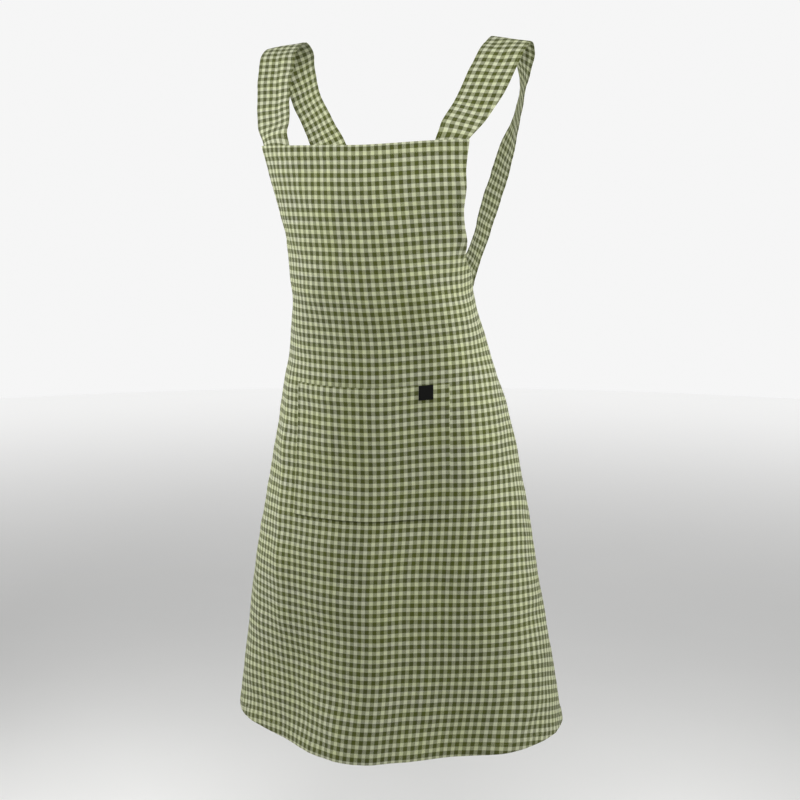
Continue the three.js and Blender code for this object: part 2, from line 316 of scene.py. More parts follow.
# Light from round about and overhead, the rise over which it fades, its share from in front, and directions
# between which floor and light dim towards the front
WORLD_ROUND = 0.92
WORLD_OVERHEAD = 0.3
OVERHEAD_FADES = (0.15, 0.7)
WORLD_FRONT = 0.55
FRONT_DIMS = (-0.8, 0.1)

# How finely each piece is divided
BODY_ROWS = 146
BODY_COLUMNS = 196
STRAP_ROWS = 190
STRAP_COLUMNS = 13
POCKET_ROWS = 36
POCKET_COLUMNS = 44
LABEL_STEPS = 9
STITCH_LINE_STEP = 3
STITCH_LINE_LEAST = 8
LABEL_LINE_PLACES = 20

# Closer places at these distances from a free edge, and the points of one level section
EDGE_STEPS = (0, 0.5, 1.2, 3, 5.5, 7, 8.5, 11, 14, 16, 18)
SEAM_STEPS = (0, 0.4, 1.0, 2.0, 3.0, 4.2, 6)
RING_STEPS = 1440


# Curves and tables

def smooth(start, end, at):
    """Rises from 0 at start to 1 at end, level at both."""
    t = np.clip((np.asarray(at, float) - start) / (end - start), 0, 1)
    return t * t * (3 - 2 * t)


def mix(a, b, t):
    return a + (b - a) * t


def column_of(table, name):
    return np.array([getattr(row, name) for row in table], float)


def smooth_through(keys, values, at):
    """Smooth curve through values at keys that rise or fall steadily."""
    if keys[0] > keys[-1]:
        keys = keys[::-1]
        values = values[::-1]
    step = np.diff(keys)
    rise = np.diff(values) / step
    slope = np.empty_like(values)
    slope[0] = rise[0]
    slope[-1] = rise[-1]
    slope[1:-1] = (rise[:-1] * step[1:] + rise[1:] * step[:-1]) / (step[1:] + step[:-1])
    place = np.clip(at, keys[0], keys[-1])
    k = np.clip(np.searchsorted(keys, place) - 1, 0, len(step) - 1)
    t = (place - keys[k]) / step[k]
    start = (2 * t**3 - 3 * t**2 + 1) * values[k] + (t**3 - 2 * t**2 + t) * step[k] * slope[k]
    end = (3 * t**2 - 2 * t**3) * values[k + 1] + (t**3 - t**2) * step[k] * slope[k + 1]
    return start + end


def through(table, key, name, at):
    return smooth_through(column_of(table, key), column_of(table, name), at)


def graded(start, end, count, steps):
    """Places from start to end, even in the middle and at the given distances near both ends."""
    way = 1 if end > start else -1
    near = way * np.array(steps, float)
    middle = np.linspace(start + near[-1], end - near[-1], count)
    return np.concatenate([start + near[:-1], middle, end - near[-2::-1]])


# The worn form

Ring = namedtuple("Ring", "x y run bearing middle")


def ring(z):
    """One closed level section with its drape, and each point's distance round from the middle front."""
    half, middle, front, back, square = (
        float(through(SECTIONS, "height", name, z)) for name in ("half", "middle", "front", "back", "square"))
    turn = np.linspace(-np.pi, np.pi, RING_STEPS + 1)
    s = np.sin(turn)
    c = np.cos(turn)
    power = 2 / np.where(c > 0, square, BACK_SQUARE)
    x = half * np.sign(s) * np.abs(s) ** power
    y = -np.where(c > 0, front, back) * np.sign(c) * np.abs(c) ** power
    bearing = np.degrees(np.arctan2(x, -y))
    bearing[0] = -180
    bearing[-1] = 180
    radius = np.hypot(x, y)
    out = np.zeros_like(radius)
    for drape in DRAPES:
        off = (bearing - drape.angle) / drape.spread
        out += drape.depth * smooth(drape.begins, drape.full, z) * np.exp(-off * off)
    x = x * (radius + out) / radius
    y = y * (radius + out) / radius + middle
    run = np.concatenate([[0], np.cumsum(np.hypot(np.diff(x), np.diff(y)))])
    run -= run[RING_STEPS // 2]
    return Ring(x, y, run, bearing, middle)


def cloth_edges(z):
    """Both free edges of the body at one height, as distances from the centre front line."""
    shift = float(through(SECTIONS, "height", "shift", z))
    carried = shift * smooth(*EDGES_FOLLOW, z) - shift
    limit = ring(z).run[-1] - float(through(SLITS, "height", "half", z))
    reach = limit
    if z > BACK_CORNER:
        reach = min(limit, float(through(REACHES, "height", "reach", z)))
    return carried - reach, carried + reach


def lines_lift(table, across, z, power):
    """Height out of the cloth of folds that lie along lines; a lower power gives a sharper fold."""
    lift = np.zeros(np.broadcast(across, z).shape)
    for fold in table:
        du = fold.to_across - fold.from_across
        dz = fold.to_height - fold.from_height
        length = math.hypot(du, dz)
        along = ((across - fold.from_across) * du + (z - fold.from_height) * dz) / length**2
        away = ((across - fold.from_across) * dz - (z - fold.from_height) * du) / length / fold.breadth
        ends = smooth(*FOLD_SETS_IN, along)
        if fold.to_height >= HEM:
            ends = ends * smooth(*FOLD_RUNS_OUT, along)
        lift += fold.depth * ends * np.exp(-np.abs(away) ** power)
    return lift


def crumple(across, along, seed, count, longest, steepness):
    """Faint crumples of washed linen, as waves of many lengths and directions."""
    chance = np.random.default_rng(seed)
    lift = np.zeros(np.broadcast(across, along).shape)
    for _ in range(count):
        length = longest * chance.uniform(CRUMPLE_SHORTEST, 1.0)
        heading = chance.uniform(0, math.pi)
        phase = chance.uniform(0, 2 * math.pi)
        way = across * math.cos(heading) + along * math.sin(heading)
        lift += steepness * length / (2 * math.pi) * np.sin(2 * math.pi * way / length + phase)
    return lift


def relief(across, z):
    """All folds, creases and crumples of the body's cloth."""
    lift = lines_lift(FOLDS, across, z, FOLD_POWER)
    lift += lines_lift(CREASES, across, z, CREASE_POWER)
    lift += crumple(across, z, seed=11, count=46, longest=95, steepness=0.012)
    return lift


def level_row(across, z, lift):
    """Points on one level section of the form, lifted out of it."""
    section = ring(z)
    place = across + float(through(SECTIONS, "height", "shift", z))
    along_x = np.interp(place, section.run, np.gradient(section.x, section.run))
    along_y = np.interp(place, section.run, np.gradient(section.y, section.run))
    size = np.hypot(along_x, along_y)
    x = np.interp(place, section.run, section.x) + along_y / size * lift
    y = np.interp(place, section.run, section.y) - along_x / size * lift
    return np.stack([x, y, np.full_like(x, z)], axis=-1)


def cloth_row(across, z, lift):
    """Points of the cloth that hang at one height, some of them drawn up."""
    level = level_row(across, z, lift)
    share = smooth(*DRAWN_RISES, across) * smooth(*DRAWN_FADES, across) * smooth(*DRAWN_HEIGHTS, z)
    if not share.any():
        return level
    return mix(level, level_row(across, z + DRAWN_UP, lift), share[:, None])


def cloth_grid(across, heights, lift):
    return np.stack([cloth_row(a, z, up) for a, z, up in zip(across, heights, lift)])


def woven_rows(heights):
    """Length of cloth down to each place: rows are level in front and turn square to the columns behind."""
    spread = np.linspace(-ROWS_REACH, ROWS_REACH, ROWS_PLACES)
    across = np.tile(spread, (len(heights), 1))
    points = cloth_grid(across, heights, lines_lift(FOLDS, across, heights[:, None], FOLD_POWER))
    round_way = np.gradient(points, axis=1)
    round_way /= np.maximum(np.linalg.norm(round_way, axis=2, keepdims=True), 1e-6)
    down = -np.gradient(points, heights, axis=0)
    drop = np.linalg.norm(down, axis=2)
    lean = (round_way * down).sum(axis=2) / drop
    near = np.exp(-((heights[:, None] - heights) / EVENING_LENGTH) ** 2) * np.abs(np.gradient(heights))
    on_cloth = np.abs(lean) > LEAN_LEAST
    even = near @ lean / np.maximum(near @ on_cloth, LEAN_LEAST)
    lean = mix(lean, even, smooth(*ROWS_EVEN_OUT, np.abs(spread))) * smooth(*ROWS_TURN, np.abs(spread))
    middle = len(spread) // 2
    centre = drop[:, middle]
    length = np.concatenate([[0], np.cumsum((centre[1:] + centre[:-1]) / 2 * -np.diff(heights))])
    gain = np.cumsum((lean[:, 1:] + lean[:, :-1]) / 2 * np.diff(spread), axis=1)
    gain = np.concatenate([np.zeros((len(heights), 1)), gain], axis=1)
    return spread, length[:, None] + gain - gain[:, middle:middle + 1]


def woven_columns(across):
    """Width of cloth to each place, with the columns a little wider round the sides and the back."""
    start, end = COLUMNS_WIDEN
    t = np.clip((np.abs(across) - start) / (end - start), 0, 1)
    beyond = (end - start) * (t**3 - t**4 / 2) + np.maximum(np.abs(across) - end, 0)
    return across - np.sign(across) * SIDE_WIDENING * beyond


# Meshes

def grid_normals(grid):
    """Outward unit normals of a grid of points, rows first."""
    normal = np.cross(np.gradient(grid, axis=1), np.gradient(grid, axis=0))
    return normal / np.linalg.norm(normal, axis=2, keepdims=True)


def link_mesh(name, points, faces, material):
    mesh = bpy.data.meshes.new(name)
    mesh.from_pydata((points * METRES).tolist(), [], faces)
    mesh.polygons.foreach_set("use_smooth", [True] * len(mesh.polygons))
    mesh.materials.append(material)
    mesh.update()
    obj = bpy.data.objects.new(name, mesh)
    bpy.context.scene.collection.objects.link(obj)
    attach(obj, "root")
    return obj


def shell_faces(rows, columns):
    """Faces of a closed sheet: outer side, inner side turned about, and the rim."""
    number = np.arange(rows * columns).reshape(rows, columns)
    a, b, c, d = number[:-1, :-1], number[:-1, 1:], number[1:, 1:], number[1:, :-1]
    outer = np.stack([a, b, c, d], axis=-1).reshape(-1, 4)
    inner = outer[:, ::-1] + rows * columns
    border = np.concatenate([number[0, :], number[1:, -1], number[-1, -2::-1], number[-2:0:-1, 0]])
    after = np.roll(border, -1)
    rim = np.stack([after, border, border + rows * columns, after + rows * columns], axis=-1)
    return np.concatenate([outer, inner, rim]).tolist()


Sheet = namedtuple("Sheet", "obj outer inner normals area")


def make_sheet(name, middle, outer, inner, cloth_place, material):
    """Closed cloth round a grid of middle points, with its threads' coordinates in a layer of its own."""
    normals = grid_normals(middle)
    outside = middle + normals * outer[:, :, None]
    inside = middle - normals * inner[:, :, None]
    rows, columns = middle.shape[:2]
    points = np.concatenate([outside.reshape(-1, 3), inside.reshape(-1, 3)])
    obj = link_mesh(name, points, shell_faces(rows, columns), material)
    mesh = obj.data
    layer = mesh.uv_layers.new(name="cloth")
    corner = np.empty(len(mesh.loops), int)
    mesh.loops.foreach_get("vertex_index", corner)
    place = np.tile(cloth_place.reshape(-1, 2) * METRES, (2, 1))
    layer.data.foreach_set("uv", place[corner].ravel())
    side_a = np.linalg.norm(np.diff(middle, axis=1), axis=2)
    side_b = np.linalg.norm(np.diff(middle, axis=0), axis=2)
    patch = (side_a[1:] + side_a[:-1]) / 2 * (side_b[:, 1:] + side_b[:, :-1]) / 2
    return Sheet(obj, outside, inside, normals, float(patch.sum()) * METRES**2)


def rim(distance):
    """Rounds the cloth off at its free edge."""
    return np.maximum(EDGE_LEAST, np.sqrt(1 - np.clip(1 - distance / EDGE_ROUNDING, 0, 1) ** 2))


def turned(distance, width):
    """Extra thickness of a turned hem."""
    outer, inner = HEM_RUNS_OUT
    return HEM_FOLD * smooth(width + outer, width + inner, distance)


def groove(distance, line):
    """The cloth is drawn in along a stitch line."""
    return GROOVE_DEPTH * np.exp(-((distance - line) / GROOVE_BREADTH) ** 2)


def pucker(distance, along):
    """Small waves that stitches draw up along an edge."""
    drift = PUCKER_DRIFT * np.sin(2 * math.pi * along / PUCKER_DRIFT_LENGTH)
    wave = np.sin(2 * math.pi * along / PUCKER_LENGTH + drift)
    return PUCKER_HEIGHT * wave * np.exp(-(distance / PUCKER_REACH) ** 2)


def along_line(at, run, values):
    """Points or normals of a line at given distances along it."""
    return np.stack([np.interp(at, run, values[:, k]) for k in range(3)], axis=-1)


def stitch_row(points, normals):
    """Stitches along a line on the cloth: points of each one, a tapered bead that dips in at both ends."""
    run = np.concatenate([[0], np.cumsum(np.linalg.norm(np.diff(points, axis=0), axis=1))])
    count = max(1, int(run[-1] / STITCH_PITCH))
    starts = (np.arange(count) + 0.5) * run[-1] / count - STITCH_LENGTH / 2
    sides = np.arange(BEAD_SIDES) * 2 * math.pi / BEAD_SIDES
    beads = []
    for bead in BEADS:
        at = starts + bead.share * STITCH_LENGTH
        up = along_line(at, run, normals)
        place = along_line(at, run, points) + up * bead.lift
        if bead.radius == 0:
            beads.append(place[:, None, :])
            continue
        way = along_line(at + BEAD_LOOKS_AHEAD, run, points) - along_line(at - BEAD_LOOKS_AHEAD, run, points)
        way /= np.linalg.norm(way, axis=1, keepdims=True)
        across = np.cross(way, up)
        turn = np.cos(sides)[None, :, None] * across[:, None, :]
        turn += np.sin(sides)[None, :, None] * up[:, None, :]
        beads.append(place[:, None, :] + turn * bead.radius)
    return np.concatenate(beads, axis=1)


def make_stitches(name, lines, material):
    """One mesh of all stitches along several lines, each line given as points and normals."""
    beads = np.concatenate([stitch_row(points, normals) for points, normals in lines])
    near = 1
    far = near + BEAD_SIDES
    tip = far + BEAD_SIDES
    faces = []
    for k in range(BEAD_SIDES):
        after = (k + 1) % BEAD_SIDES
        faces.append([0, near + after, near + k])
        faces.append([near + k, near + after, far + after, far + k])
        faces.append([far + k, far + after, tip])
    every = []
    for first in range(0, len(beads) * (tip + 1), tip + 1):
        every.extend([first + corner for corner in face] for face in faces)
    return link_mesh(name, beads.reshape(-1, 3), every, material)


def grid_line(grid, normals, row, column):
    """Points and normals on a grid at fractional rows and columns."""
    row = np.clip(row, 0, grid.shape[0] - 1.001)
    column = np.clip(column, 0, grid.shape[1] - 1.001)
    i = row.astype(int)
    j = column.astype(int)
    s = (row - i)[:, None]
    t = (column - j)[:, None]
    found = []
    for values in (grid, normals):
        upper = mix(values[i, j], values[i, j + 1], t)
        lower = mix(values[i + 1, j], values[i + 1, j + 1], t)
        found.append(mix(upper, lower, s))
    return found[0], found[1]


def both_faces(sheet, row, column):
    """The same stitch line on the outer and the inner face of a sheet."""
    outside = grid_line(sheet.outer, sheet.normals, row, column)
    inside = grid_line(sheet.inner, -sheet.normals, row, column)
    return [outside, inside]


# Materials

class Nodes:
    """Short ways to add shader nodes to one material."""

    def __init__(self, name):
        self.material = bpy.data.materials.new(name)
        self.material.use_nodes = True
        self.tree = self.material.node_tree
        self.shader = self.tree.nodes["Principled BSDF"]

    def put(self, value, socket):
        if isinstance(value, bpy.types.NodeSocket):
            self.tree.links.new(value, socket)
        else:
            socket.default_value = value

    def maths(self, operation, *values):
        node = self.tree.nodes.new("ShaderNodeMath")
        node.operation = operation
        for value, socket in zip(values, node.inputs):
            self.put(value, socket)
        return node.outputs[0]

    def remap(self, value, low, high, to_low, to_high):
        node = self.tree.nodes.new("ShaderNodeMapRange")
        node.interpolation_type = "SMOOTHSTEP"
        for given, socket in zip((value, low, high, to_low, to_high), node.inputs):
            self.put(given, socket)
        return node.outputs[0]

    def blend(self, factor, first, second, way="MIX"):
        node = self.tree.nodes.new("ShaderNodeMix")
        node.data_type = "RGBA"
        node.blend_type = way
        self.put(factor, node.inputs[0])
        self.put(first, node.inputs[6])
        self.put(second, node.inputs[7])
        return node.outputs[2]

    def noise(self, x, y, z, detail):
        place = self.tree.nodes.new("ShaderNodeCombineXYZ")
        for value, socket in zip((x, y, z), place.inputs):
            self.put(value, socket)
        node = self.tree.nodes.new("ShaderNodeTexNoise")
        node.inputs["Scale"].default_value = 1
        node.inputs["Detail"].default_value = detail
        self.tree.links.new(place.outputs[0], node.inputs["Vector"])
        return node.outputs[0]

    def cloth_place(self):
        """Millimetres across and along the cloth."""
        place = self.tree.nodes.new("ShaderNodeUVMap")
        place.uv_map = "cloth"
        parts = self.tree.nodes.new("ShaderNodeSeparateXYZ")
        self.tree.links.new(place.outputs[0], parts.inputs[0])
        across = self.maths("MULTIPLY", parts.outputs[0], 1 / METRES)
        along = self.maths("MULTIPLY", parts.outputs[1], 1 / METRES)
        return across, along

    def bump(self, height, distance, strength):
        node = self.tree.nodes.new("ShaderNodeBump")
        node.inputs["Distance"].default_value = distance
        node.inputs["Strength"].default_value = strength
        self.tree.links.new(height, node.inputs["Height"])
        self.tree.links.new(node.outputs[0], self.shader.inputs["Normal"])


def dyed_stripe(nodes, place, repeat, start, wobble):
    """1 on dyed yarns and 0 on undyed ones, in even stripes with slightly uneven borders."""
    turns = nodes.maths("MULTIPLY_ADD", place, 1 / repeat, start)
    wander = nodes.maths("MULTIPLY", nodes.maths("SUBTRACT", wobble, 0.5), BORDER_WOBBLE)
    turns = nodes.maths("ADD", turns, wander)
    off = nodes.maths("ABSOLUTE", nodes.maths("SUBTRACT", nodes.maths("FRACT", turns), 0.5))
    return nodes.remap(off, *STRIPE_BORDER, 1, 0)


def yarn_noise(nodes, place, grain, seed, detail):
    """Noise with its own scale across and along the cloth."""
    x = nodes.maths("MULTIPLY", place[0], grain[0])
    y = nodes.maths("MULTIPLY", place[1], grain[1])
    return nodes.noise(x, y, seed, detail)


def gingham(name, start, warp_share):
    """Yarn-dyed linen: dyed and undyed yarns both ways, slubs, faint shade differences and a plain weave.

    warp_share is how much of the face the lengthwise yarns cover.
    """
    nodes = Nodes(name)
    place = nodes.cloth_place()
    across, along = place
    warp_slub = yarn_noise(nodes, place, SLUB_GRAIN, seed=1, detail=3)
    weft_slub = yarn_noise(nodes, place, SLUB_GRAIN[::-1], seed=7, detail=3)
    warp = dyed_stripe(nodes, across, COLUMN_REPEAT, start[0], weft_slub)
    weft = dyed_stripe(nodes, along, ROW_REPEAT, start[1], warp_slub)
    warp_shade = yarn_noise(nodes, place, SHADE_GRAIN, seed=3, detail=2)
    weft_shade = yarn_noise(nodes, place, SHADE_GRAIN[::-1], seed=5, detail=2)
    olive_warp = nodes.blend(nodes.remap(warp_shade, 0.35, 0.65, 0, 1), DARK, GREEN)
    olive_weft = nodes.blend(nodes.remap(weft_shade, 0.35, 0.65, 0, 1), DARK, GREEN)
    cream_warp = nodes.blend(nodes.remap(warp_shade, 0.3, 0.7, 0, 1), PALE, WARM)
    cream_weft = nodes.blend(nodes.remap(weft_shade, 0.3, 0.7, 0, 1), PALE, WARM)
    column = nodes.maths("SINE", nodes.maths("MULTIPLY", across, math.pi / THREAD_PITCH))
    row = nodes.maths("SINE", nodes.maths("MULTIPLY", along, math.pi / THREAD_PITCH))
    over = nodes.maths("MULTIPLY", column, row)
    share = nodes.remap(over, -0.5, 0.5, warp_share - YARN_COVER, warp_share + YARN_COVER)
    olive = nodes.blend(share, olive_weft, olive_warp)
    cream = nodes.blend(share, cream_weft, cream_warp)
    dyed = nodes.maths("MULTIPLY_ADD", nodes.maths("SUBTRACT", warp, weft), share, weft)
    colour = nodes.blend(nodes.maths("POWER", dyed, DYED_YARN_SHOWS), cream, olive)
    both_slubs = nodes.maths("ADD", warp_slub, weft_slub)
    slub = nodes.maths("MULTIPLY_ADD", both_slubs, SLUB_STRENGTH, 1 - SLUB_STRENGTH)
    shade = nodes.tree.nodes.new("ShaderNodeCombineColor")
    for socket in shade.inputs:
        nodes.put(slub, socket)
    nodes.put(nodes.blend(1.0, colour, shade.outputs[0], "MULTIPLY"), nodes.shader.inputs["Base Color"])
    nodes.put(nodes.remap(slub, 0.85, 1.15, 0.94, 0.8), nodes.shader.inputs["Roughness"])
    nodes.shader.inputs["Specular IOR Level"].default_value = 0.08
    nodes.shader.inputs["Sheen Weight"].default_value = 0.07
    nodes.shader.inputs["Sheen Roughness"].default_value = 0.55
    ridges = nodes.maths("ADD", nodes.maths("ABSOLUTE", column), nodes.maths("ABSOLUTE", row))
    height = nodes.maths("ADD", nodes.maths("MULTIPLY", ridges, 0.3), slub)
    nodes.bump(height, distance=0.00035, strength=0.5)
    return nodes.material


def thread(name, colour, paler):
    """Sewing thread with a fine twist."""
    nodes = Nodes(name)
    place = nodes.tree.nodes.new("ShaderNodeTexCoord")
    twist = nodes.tree.nodes.new("ShaderNodeTexNoise")
    twist.inputs["Scale"].default_value = 2600
    nodes.tree.links.new(place.outputs["Object"], twist.inputs["Vector"])
    nodes.put(nodes.blend(twist.outputs[0], colour, paler), nodes.shader.inputs["Base Color"])
    nodes.shader.inputs["Roughness"].default_value = 0.7
    nodes.bump(twist.outputs[0], distance=0.0001, strength=0.4)
    return nodes.material


def woven_tape(name, colour, paler):
    """Close woven black tape with fine diagonal ribs."""
    nodes = Nodes(name)
    across, along = nodes.cloth_place()
    rib = nodes.maths("SINE", nodes.maths("MULTIPLY", nodes.maths("ADD", across, along), 7.5))
    fleck = nodes.noise(nodes.maths("MULTIPLY", across, 1.6), nodes.maths("MULTIPLY", along, 1.6), 2, 3)
    lightness = nodes.maths("MULTIPLY_ADD", rib, 0.18, fleck)
    nodes.put(nodes.blend(lightness, colour, paler), nodes.shader.inputs["Base Color"])
    nodes.put(nodes.remap(fleck, 0.3, 0.7, 0.62, 0.8), nodes.shader.inputs["Roughness"])
    nodes.shader.inputs["Specular IOR Level"].default_value = 0.05
    nodes.bump(lightness, distance=0.0002, strength=0.5)
    return nodes.material


def studio_floor(name):
    """Matt pale floor that fades into the white of the background with distance."""
    nodes = Nodes(name)
    place = nodes.tree.nodes.new("ShaderNodeTexCoord")
    mottle = nodes.tree.nodes.new("ShaderNodeTexNoise")
    mottle.inputs["Scale"].default_value = 3
    nodes.tree.links.new(place.outputs["Object"], mottle.inputs["Vector"])
    colour = nodes.blend(mottle.outputs[0], *FLOOR_SHADES)
    nodes.put(colour, nodes.shader.inputs["Base Color"])
    away = nodes.tree.nodes.new("ShaderNodeVectorMath")
    away.operation = "LENGTH"
    nodes.tree.links.new(place.outputs["Object"], away.inputs[0])
    parts = nodes.tree.nodes.new("ShaderNodeSeparateXYZ")
    nodes.tree.links.new(place.outputs["Object"], parts.inputs[0])
    rearward = nodes.maths("DIVIDE", parts.outputs[1], away.outputs["Value"])
    glow = nodes.remap(away.outputs["Value"], GLOW_FROM, FLOOR_RADIUS, 0, FLOOR_GLOW)
    glow = nodes.maths("MULTIPLY", glow, nodes.remap(rearward, *FRONT_DIMS, FLOOR_FRONT, 1))
    nodes.put((1, 1, 1, 1), nodes.shader.inputs["Emission Color"])
    nodes.put(glow, nodes.shader.inputs["Emission Strength"])
    nodes.shader.inputs["Roughness"].default_value = 0.95
    return nodes.material


body_linen = gingham("body_linen", (0.0, 0.0), 0.48)
strap_linen = gingham("strap_linen", (0.0, 0.3), 0.5)
pocket_linen = gingham("pocket_linen", (0.03, 0.0), 0.48)
label_tape = woven_tape("label_tape", (0.003, 0.003, 0.003, 1), (0.011, 0.011, 0.010, 1))
olive_thread = thread("olive_thread", (0.20, 0.215, 0.11, 1), (0.28, 0.30, 0.18, 1))
dark_olive_thread = thread("dark_olive_thread", (0.06, 0.066, 0.022, 1), (0.085, 0.095, 0.035, 1))
black_thread = thread("black_thread", (0.01, 0.01, 0.01, 1), (0.03, 0.03, 0.03, 1))


# Body

body_heights = graded(BIB_TOP, HEM, BODY_ROWS, EDGE_STEPS)
body_edges = np.array([cloth_edges(z) for z in body_heights])
body_across = np.array([graded(left, right, BODY_COLUMNS, EDGE_STEPS) for left, right in body_edges])
woven_spread, woven_down = woven_rows(body_heights)


def woven_place(across, z):
    """Thread coordinates of a place on the body."""
    rows = np.array([np.interp(across, woven_spread, down) for down in woven_down])
    along = np.array([np.interp(-z, -body_heights, rows[:, k]) for k in range(len(across))])
    return np.stack([woven_columns(across), along], axis=-1)


def make_body():
    z = body_heights[:, None]
    slope = np.abs(np.gradient(body_edges, body_heights, axis=0))
    left = (body_across - body_edges[:, :1]) / np.hypot(1, slope[:, :1])
    right = (body_edges[:, 1:] - body_across) / np.hypot(1, slope[:, 1:])
    side = np.minimum(left, right)
    top = np.broadcast_to(BIB_TOP - z, side.shape)
    bottom = np.broadcast_to(z - HEM, side.shape)
    free = np.minimum(np.minimum(top, bottom), side)
    lift = relief(body_across, z)
    lift = lift + pucker(bottom, body_across) + pucker(top, body_across) + pucker(side, z)
    middle = cloth_grid(body_across, body_heights, lift)
    fold = np.maximum(np.maximum(turned(top, BIB_HEM), turned(bottom, BOTTOM_HEM)), turned(side, SIDE_HEM))
    drawn = np.maximum(groove(bottom, BOTTOM_HEM - STITCH_INSET), groove(top, BIB_HEM - STITCH_INSET))
    drawn = np.maximum(drawn, groove(side, SIDE_HEM - STITCH_INSET))
    outer = (CLOTH / 2 + BODY_HEM_OUTWARD * fold) * rim(free) - drawn
    inner = (CLOTH / 2 + fold) * rim(free) - GROOVE_INSIDE * drawn
    down = np.array([np.interp(a, woven_spread, row) for a, row in zip(body_across, woven_down)])
    place = np.stack([woven_columns(body_across), down], axis=-1)
    return make_sheet("apron_body", middle, outer, inner, place, body_linen)


def body_stitch_lines(sheet):
    rows = np.arange(len(body_heights), dtype=float)
    columns = np.arange(body_across.shape[1], dtype=float)

    def level(z):
        row = np.full(len(columns), np.interp(-z, -body_heights, rows))
        return both_faces(sheet, row, columns)

    def edge(side):
        slope = np.abs(np.gradient(body_edges[:, side], body_heights))
        inset = (SIDE_HEM - STITCH_INSET) * np.hypot(1, slope)
        line = body_edges[:, side] + (inset if side == 0 else -inset)
        column = np.array([np.interp(u, across, columns) for u, across in zip(line, body_across)])
        return both_faces(sheet, rows, column)

    lines = level(HEM + BOTTOM_HEM - STITCH_INSET)
    lines += level(BIB_TOP - BIB_HEM + STITCH_INSET)
    lines += edge(0)
    lines += edge(1)
    return lines


# Straps

def under_body(point, clearance):
    """The place on the inside of the body that a point lies against."""
    section = ring(min(point[2], BIB_TOP))
    bearing = math.degrees(math.atan2(point[0], section.middle - point[1]))
    x = np.interp(bearing, section.bearing, section.x)
    y = np.interp(bearing, section.bearing, section.y) - section.middle
    keep = 1 - clearance / math.hypot(x, y)
    return np.array([x * keep, y * keep + section.middle, point[2]])


def strap_grid(strap, spread, count):
    """Ribbon along its path, under the bib at one end and under the opposite back corner at the other."""
    knots = np.stack([column_of(STRAP_PATH, name) for name in StrapPoint._fields], axis=-1)
    run = np.concatenate([[0], np.cumsum(np.linalg.norm(np.diff(knots[:, :3], axis=0), axis=1))])
    at = graded(0, run[-1], count, SEAM_STEPS)
    path = np.stack([smooth_through(run, knots[:, k], at) for k in range(5)], axis=-1)
    centre = path[:, :3]
    along = np.gradient(centre, at, axis=0)
    along /= np.linalg.norm(along, axis=1, keepdims=True)
    heading = np.radians(path[:, 3])
    dip = np.radians(path[:, 4])
    out = np.stack([np.cos(heading) * np.cos(dip), np.sin(heading) * np.cos(dip), -np.sin(dip)], axis=-1)
    out -= along * (out * along).sum(axis=1, keepdims=True)
    out /= np.linalg.norm(out, axis=1, keepdims=True)
    front = (centre[:, 1] < FRONT_RUN)[:, None]
    drawn_in = strap.taper / spread[-1] * smooth(*TAPER_HEIGHTS, centre[:, 2:]) * front
    offset = spread[None, :] * np.where(spread > 0, 1 - drawn_in, 1)
    grid = centre[:, None, :] + out[:, None, :] * offset[:, :, None]
    grid[:, :, 0] *= strap.side
    for i, j in np.ndindex(*grid.shape[:2]):
        point = grid[i, j]
        if centre[i, 1] < FRONT_RUN:
            point[0] += strap.carry * smooth(*CARRY_HEIGHTS, point[2])
            share = float(smooth(*UNDER_BIB_HEIGHTS, point[2]))
            clearance = STRAP_LIES_UNDER * UNDER_BIB_ROOM
        else:
            resting = through(SMALL_OF_BACK, "height", "depth", point[2]) - point[0] ** 2 / BACK_ROUNDING
            point[1] = mix(point[1], resting, smooth(*RESTING_HEIGHTS, point[2]))
            point[1] += strap.side * CROSSING_LIFT * smooth(*CROSSING_HEIGHTS, point[2])
            share = float(smooth(*UNDER_BACK_LENGTHS, run[-1] - at[i]))
            clearance = STRAP_LIES_UNDER * UNDER_BACK_ROOM
        if share > 0:
            grid[i, j] = mix(point, under_body(point, clearance), share)
    if strap.side < 0:
        return grid[:, ::-1], offset[:, ::-1], at
    return grid, offset, at


def make_strap(name, strap):
    half = STRAP_WIDTH / 2
    spread = graded(-half, half, STRAP_COLUMNS, SEAM_STEPS)
    middle, across, at = strap_grid(strap, spread, STRAP_ROWS)
    down = np.broadcast_to(at[:, None], middle.shape[:2])
    edge = half - np.abs(np.broadcast_to(spread, middle.shape[:2]))
    end = np.minimum(down, at[-1] - down)
    hanging = smooth(*HANGS_FROM_FRONT, down) * smooth(*HANGS_FROM_BACK, at[-1] - down)
    lift = crumple(across, down, seed=20 + strap.side, count=26, longest=60, steepness=0.02) * hanging
    lift = lift + pucker(edge, down) * hanging
    lift = lift + lines_lift(strap.creases, across, down, CREASE_POWER) * hanging
    middle = middle + grid_normals(middle) * lift[:, :, None]
    free = np.minimum(edge, end)
    drawn = groove(edge, STRAP_SEAM - STITCH_INSET)
    thick = STRAP_CLOTH / 2 * rim(free) - GROOVE_STRAP * drawn
    skew = STRAP_SKEW * smooth(*SKEW_FADES, down)
    place = np.stack([across, down - skew * across], axis=-1)
    return make_sheet(name, middle, thick, thick, place, strap_linen), spread, at


def strap_stitch_lines(sheet, spread, at):
    rows = np.arange(len(at), dtype=float)
    lines = []
    for way in (-1, 1):
        line = way * (STRAP_WIDTH / 2 - STRAP_SEAM + STITCH_INSET)
        column = np.interp(line, spread, np.arange(len(spread)))
        lines += both_faces(sheet, rows, np.full(len(rows), column))
    return lines


# Pocket and label

